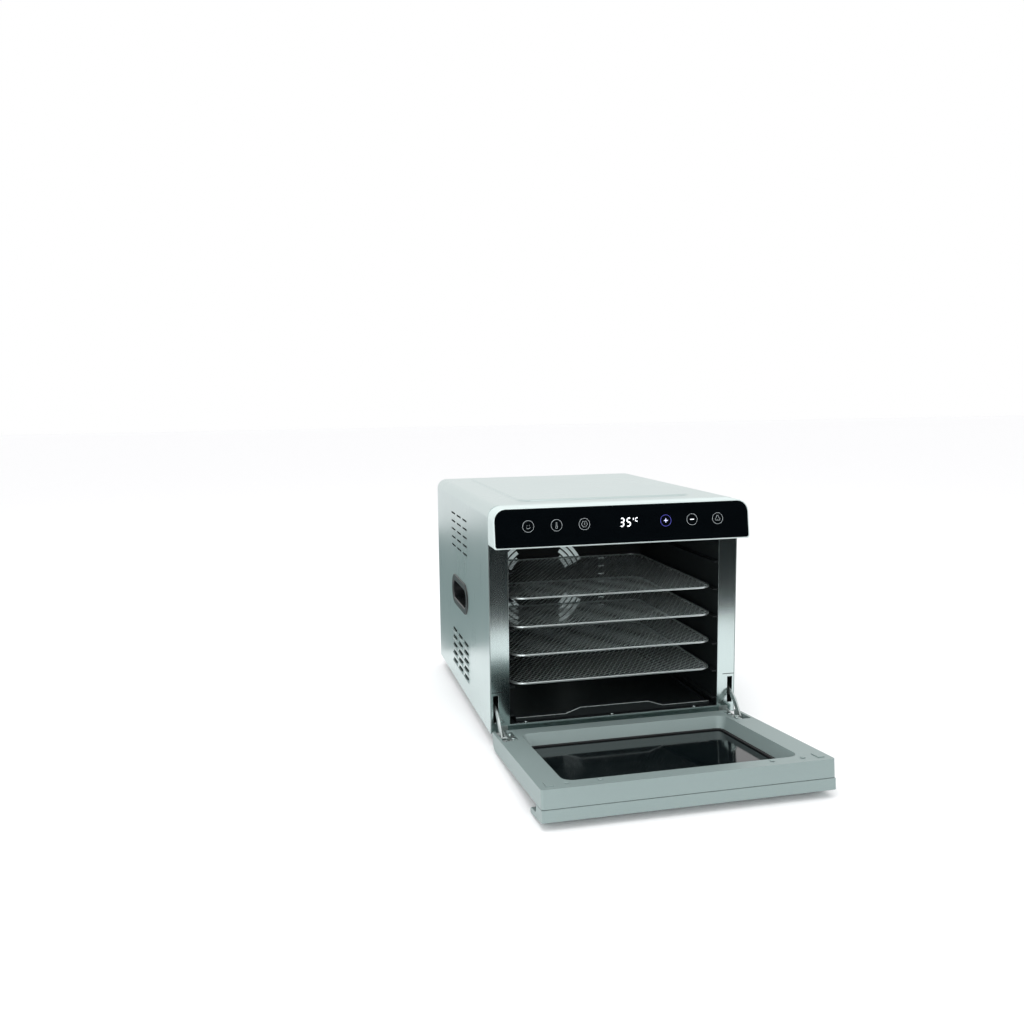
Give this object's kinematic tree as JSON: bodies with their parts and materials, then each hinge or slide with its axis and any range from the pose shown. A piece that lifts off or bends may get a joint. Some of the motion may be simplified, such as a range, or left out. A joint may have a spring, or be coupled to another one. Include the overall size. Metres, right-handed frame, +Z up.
{
  "type": "food dehydrator",
  "caption": "Cabinet food dehydrator: brushed steel box with a drop-down window door, slanted touch panel, sliding wire trays and a rear fan.",
  "frame": {"origin": "on the surface that the feet stand on, under the middle of the whole object with its door open", "axes": "+Z up, -Y to the front (the door side), +X to the right seen from the front"},
  "size_m": [0.348, 0.662, 0.317],
  "materials": {
    "brushed_stainless": "vertical brushed grain, satin",
    "bright_wire": "bright stainless",
    "galvanised_steel": "zinc-coated sheet, matte",
    "dark_coated_steel": "dark heat-proof coating, semi-gloss",
    "heater_sheath": "oxidised sheath, satin",
    "silver_plastic": "light silver moulded, satin",
    "black_plastic": "fine texture, satin",
    "black_glass": "opaque black, gloss",
    "smoked_glass": "dark tinted, gloss",
    "black_rubber": "matte",
    "circuit_board": "coated laminate"
  },
  "bodies": {
    "cabinet": {"outer_shell": "brushed_stainless", "front_frame": "brushed_stainless", "air_sensor": "bright_wire", "base_pan": "galvanised_steel", "rear_cover": "galvanised_steel", "hinge_mount_left": "galvanised_steel", "hinge_mount_right": "galvanised_steel", "fan_motor": "galvanised_steel", "fan_plate": "galvanised_steel", "air_baffle": "dark_coated_steel", "chamber_floor": "dark_coated_steel", "chamber_roof": "dark_coated_steel", "chamber_wall_left": "dark_coated_steel", "chamber_wall_right": "dark_coated_steel", "heater_element": "heater_sheath", "control_housing": "silver_plastic", "grip_left": "black_plastic", "grip_right": "black_plastic", "power_inlet": "black_plastic", "display_module": "black_plastic", "thermal_cutout": "black_plastic", "control_glass": "black_glass", "foot_front_left": "black_rubber", "foot_front_right": "black_rubber", "foot_rear_left": "black_rubber", "foot_rear_right": "black_rubber", "control_board": "circuit_board", "power_board": "circuit_board"},
    "door": {"door_frame": "silver_plastic", "door_glass": "smoked_glass", "window_seal": "black_rubber", "door_handle": "silver_plastic", "hinge_bracket_left": "galvanised_steel", "hinge_bracket_right": "galvanised_steel", "catch_magnet_left": "black_plastic", "catch_magnet_right": "black_plastic", "bracket_screw_left_1": "bright_wire", "bracket_screw_left_2": "bright_wire", "bracket_screw_right_1": "bright_wire", "bracket_screw_right_2": "bright_wire", "door_buffer_1": "black_rubber", "door_buffer_2": "black_rubber", "door_buffer_3": "black_rubber", "door_buffer_4": "black_rubber"},
    "stay_left": {"stay_lever_left": "bright_wire"},
    "stay_right": {"stay_lever_right": "bright_wire"},
    "fan": {"fan_impeller": "galvanised_steel", "fan_shaft": "bright_wire", "fan_nut": "bright_wire"},
    "drip_tray": {"drip_tray": "dark_coated_steel"},
    "tray_1": {"tray_1_rim": "bright_wire", "tray_1_mesh": "bright_wire"},
    "tray_2": {"tray_2_rim": "bright_wire", "tray_2_mesh": "bright_wire"},
    "tray_3": {"tray_3_rim": "bright_wire", "tray_3_mesh": "bright_wire"},
    "tray_4": {"tray_4_rim": "bright_wire", "tray_4_mesh": "bright_wire"}
  },
  "joints": [
    {"name": "door_hinge", "type": "hinge", "parent": "cabinet", "child": "door", "pos_m": [0, -0.08276, 0.0182], "axis": [1, 0, 0], "range_deg": [-85, 0]},
    {"name": "stay_left_pivot", "type": "hinge", "parent": "door", "child": "stay_left", "pos_m": [0, -0.10658, 0.02129], "axis": [1, 0, 0], "range_deg": [0, 58]},
    {"name": "stay_right_pivot", "type": "hinge", "parent": "door", "child": "stay_right", "pos_m": [0, -0.10658, 0.02129], "axis": [1, 0, 0], "range_deg": [0, 58]},
    {"name": "tray_1_slide", "type": "slide", "parent": "cabinet", "child": "tray_1", "axis": [0, -1, 0], "range_m": [0, 0.25]},
    {"name": "tray_2_slide", "type": "slide", "parent": "cabinet", "child": "tray_2", "axis": [0, -1, 0], "range_m": [0, 0.25]},
    {"name": "tray_3_slide", "type": "slide", "parent": "cabinet", "child": "tray_3", "axis": [0, -1, 0], "range_m": [0, 0.25]},
    {"name": "tray_4_slide", "type": "slide", "parent": "cabinet", "child": "tray_4", "axis": [0, -1, 0], "range_m": [0, 0.25]},
    {"name": "drip_tray_slide", "type": "slide", "parent": "cabinet", "child": "drip_tray", "axis": [0, -1, 0], "range_m": [0, 0.15]},
    {"name": "fan_spin", "type": "hinge", "parent": "cabinet", "child": "fan", "pos_m": [-0.028, 0.25424, 0.1555], "axis": [0, 1, 0], "continuous": true}
  ],
  "couplings": [
    {"joint": "stay_left_pivot", "follows": "door_hinge", "ratio": -0.68235},
    {"joint": "stay_right_pivot", "follows": "door_hinge", "ratio": -0.68235}
  ]
}
